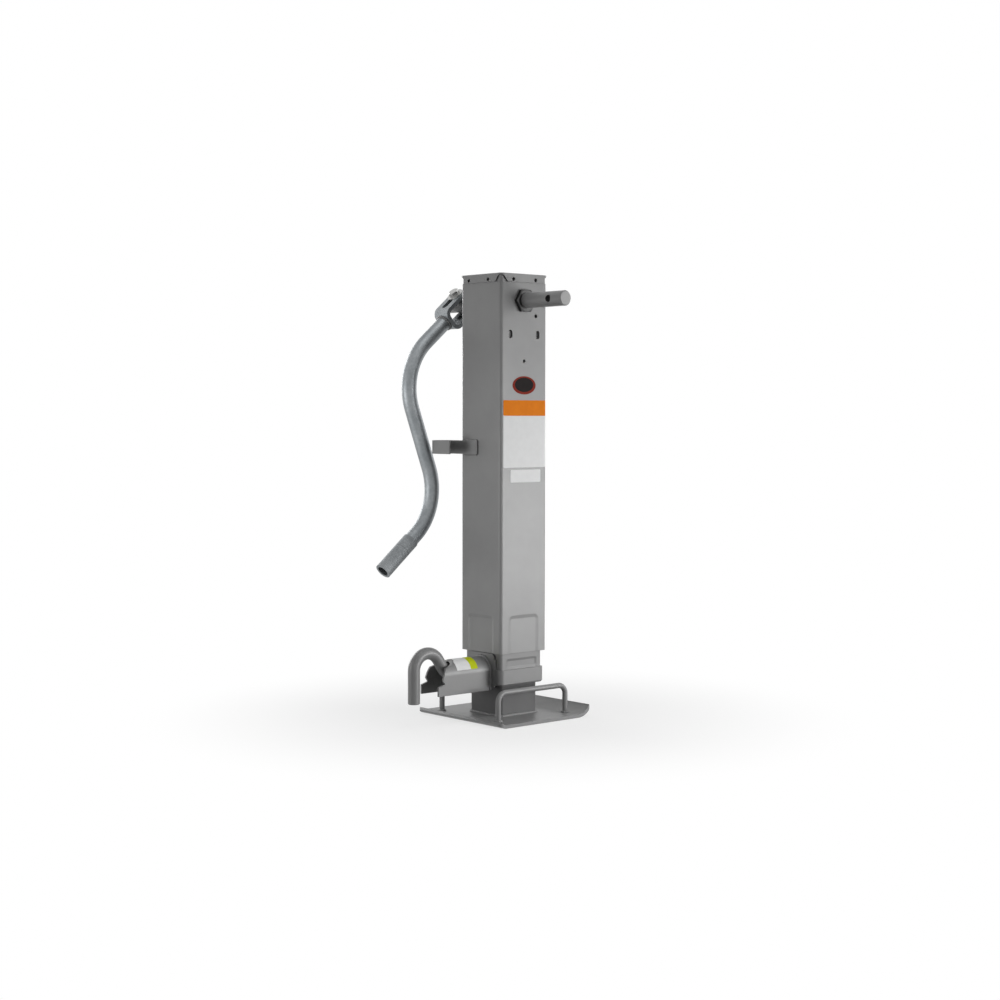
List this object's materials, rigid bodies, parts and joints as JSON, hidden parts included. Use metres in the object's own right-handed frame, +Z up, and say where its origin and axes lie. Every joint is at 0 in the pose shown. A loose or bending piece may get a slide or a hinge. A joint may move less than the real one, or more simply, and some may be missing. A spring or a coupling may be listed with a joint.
{
  "type": "trailer jack",
  "caption": "Square weld-on trailer jack: side-wind crank, bevel gears and lifting screw, telescoping ram, drop leg with spring plunger and sole plate.",
  "frame": {"origin": "centre of the foot's sole, on the axis of the square tubes", "axes": "+Z up along the tubes; the front face with the long shaft end looks to -Y; the plunger is on -X"},
  "size_m": [0.271, 0.2575, 0.6535],
  "materials": {
    "grey_coat": "satin powder coat",
    "zinc_plate": "bright zinc plate",
    "handle_zinc": "zinc plate",
    "bare_steel": "machined, oiled",
    "bearing_bronze": "machined bronze"
  },
  "bodies": {
    "outer_housing": {"outer_tube": "grey_coat", "top_cap": "grey_coat", "bushing_front": "zinc_plate", "bushing_rear": "zinc_plate", "bearing_plate": "bare_steel", "gear_washer": "bearing_bronze", "thrust_race_fixed": "bare_steel", "thrust_cage": "bare_steel", "thrust_rollers": "bare_steel", "handle_clip": "grey_coat"},
    "crank_shaft": {"drive_shaft": "grey_coat", "shaft_collar": "bare_steel", "bevel_pinion": "bare_steel", "pinion_pin": "bare_steel"},
    "pivot_bolt": {"crank_bolt": "zinc_plate", "crank_washers": "zinc_plate", "crank_nut": "zinc_plate"},
    "crank_handle": {"crank_clevis": "handle_zinc", "crank_tube": "handle_zinc", "grip_sleeve": "handle_zinc"},
    "screw_assembly": {"lift_screw": "bare_steel", "bevel_gear": "bare_steel", "gear_pin": "bare_steel", "thrust_race_turning": "bare_steel", "screw_stop": "bare_steel"},
    "ram": {"ram_tube": "grey_coat", "lift_nut": "bearing_bronze", "ram_collar": "grey_coat", "plunger_base": "grey_coat", "plunger_housing": "grey_coat", "spring_stop": "grey_coat", "plunger_spring": "bare_steel"},
    "plunger": {"pull_pin": "grey_coat", "spring_collar": "bare_steel", "collar_pin": "bare_steel"},
    "drop_leg": {"leg_tube": "grey_coat", "foot_plate": "grey_coat", "hoop_front": "grey_coat", "hoop_rear": "grey_coat"}
  },
  "joints": [
    {"name": "crank_turn", "type": "hinge", "parent": "outer_housing", "child": "crank_shaft", "pos_m": [0, 0, 0.6145], "axis": [0, 1, 0], "range_deg": [0, 33750]},
    {"name": "screw_turn", "type": "hinge", "parent": "outer_housing", "child": "screw_assembly", "pos_m": [0, 0, 0.55], "axis": [0, 0, 1], "range_deg": [-1, 22501]},
    {"name": "ram_extend", "type": "slide", "parent": "outer_housing", "child": "ram", "axis": [0, 0, -1], "range_m": [0, 0.3176]},
    {"name": "leg_drop", "type": "slide", "parent": "ram", "child": "drop_leg", "axis": [0, 0, -1], "range_m": [0, 0.33]},
    {"name": "plunger_pull", "type": "slide", "parent": "ram", "child": "plunger", "axis": [-1, 0, 0], "range_m": [-0.005, 0.012], "deforming": ["plunger_spring"]},
    {"name": "handle_fold", "type": "hinge", "parent": "crank_shaft", "child": "pivot_bolt", "pos_m": [0, 0.098, 0.6145], "axis": [0.6428, 0, -0.766], "range_deg": [0, 90]},
    {"name": "handle_slide", "type": "slide", "parent": "pivot_bolt", "child": "crank_handle", "axis": [0.766, 0, 0.6428], "range_m": [0, 0.008]}
  ],
  "couplings": [
    {"joint": "screw_turn", "follows": "crank_turn", "ratio": 0.66667},
    {"joint": "ram_extend", "follows": "crank_turn", "m_per_rad": 0.000539}
  ]
}
